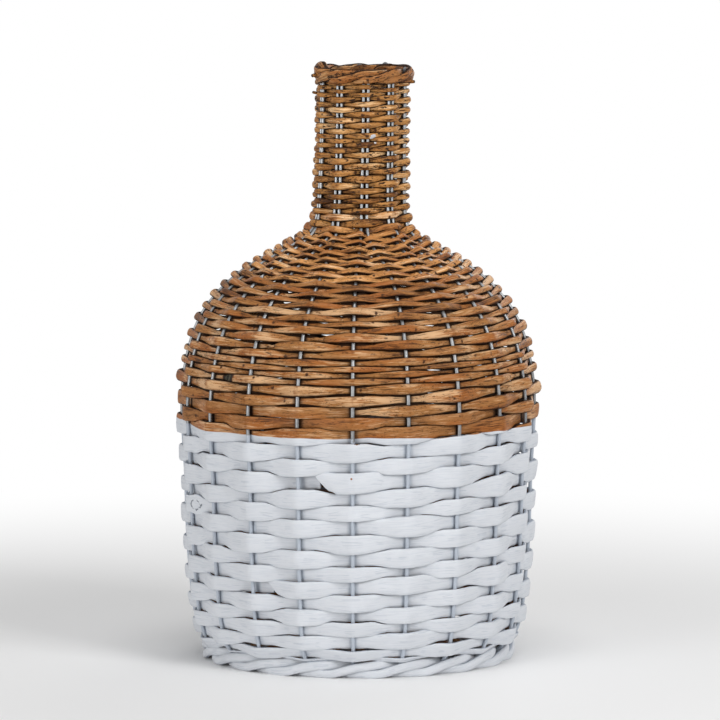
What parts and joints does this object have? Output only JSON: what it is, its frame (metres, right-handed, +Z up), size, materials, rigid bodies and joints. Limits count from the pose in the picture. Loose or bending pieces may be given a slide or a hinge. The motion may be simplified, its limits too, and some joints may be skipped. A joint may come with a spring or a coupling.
{
  "type": "wicker bottle vase",
  "caption": "Bottle-shaped basket vase of willow rods woven on steel wires, its lower half painted white, with a slim neck and a wale rim.",
  "frame": {"origin": "centre of the foot on the surface that the vase stands on", "axes": "+Z up through the neck; the front that the picture shows looks along -Y; +X to the right of it, the side to which the mouth leans by 4 mm"},
  "size_m": [0.3114, 0.3113, 0.508],
  "materials": {
    "willow_natural": "natural brown willow, dry, semi-matt",
    "willow_painted": "willow dipped in matt white paint",
    "wire": "galvanised wire"
  },
  "bodies": {
    "root": {"frame_wire_01": "wire", "frame_wire_02": "wire", "frame_wire_03": "wire", "frame_wire_04": "wire", "frame_wire_05": "wire", "frame_wire_06": "wire", "frame_wire_07": "wire", "frame_wire_08": "wire", "frame_wire_09": "wire", "frame_wire_10": "wire", "base_rod_1": "willow_painted", "base_rod_2": "willow_painted", "foot_rod_1": "willow_painted", "foot_rod_2": "willow_painted", "foot_rod_3": "willow_painted", "painted_rod_01": "willow_painted", "painted_rod_02": "willow_painted", "painted_rod_03": "willow_painted", "painted_rod_04": "willow_painted", "painted_rod_05": "willow_painted", "painted_rod_06": "willow_painted", "painted_rod_07": "willow_painted", "painted_rod_08": "willow_painted", "natural_rod_01": "willow_natural", "natural_rod_02": "willow_natural", "natural_rod_03": "willow_natural", "natural_rod_04": "willow_natural", "natural_rod_05": "willow_natural", "natural_rod_06": "willow_natural", "natural_rod_07": "willow_natural", "natural_rod_08": "willow_natural", "shoulder_rod_01": "willow_natural", "shoulder_rod_02": "willow_natural", "shoulder_rod_03": "willow_natural", "shoulder_rod_04": "willow_natural", "neck_rod_01": "willow_natural", "neck_rod_02": "willow_natural", "neck_rod_03": "willow_natural", "neck_rod_04": "willow_natural", "neck_rod_05": "willow_natural", "neck_rod_06": "willow_natural", "rim_rod_1": "willow_natural", "rim_rod_2": "willow_natural", "rim_rod_3": "willow_natural"}
  },
  "joints": []
}
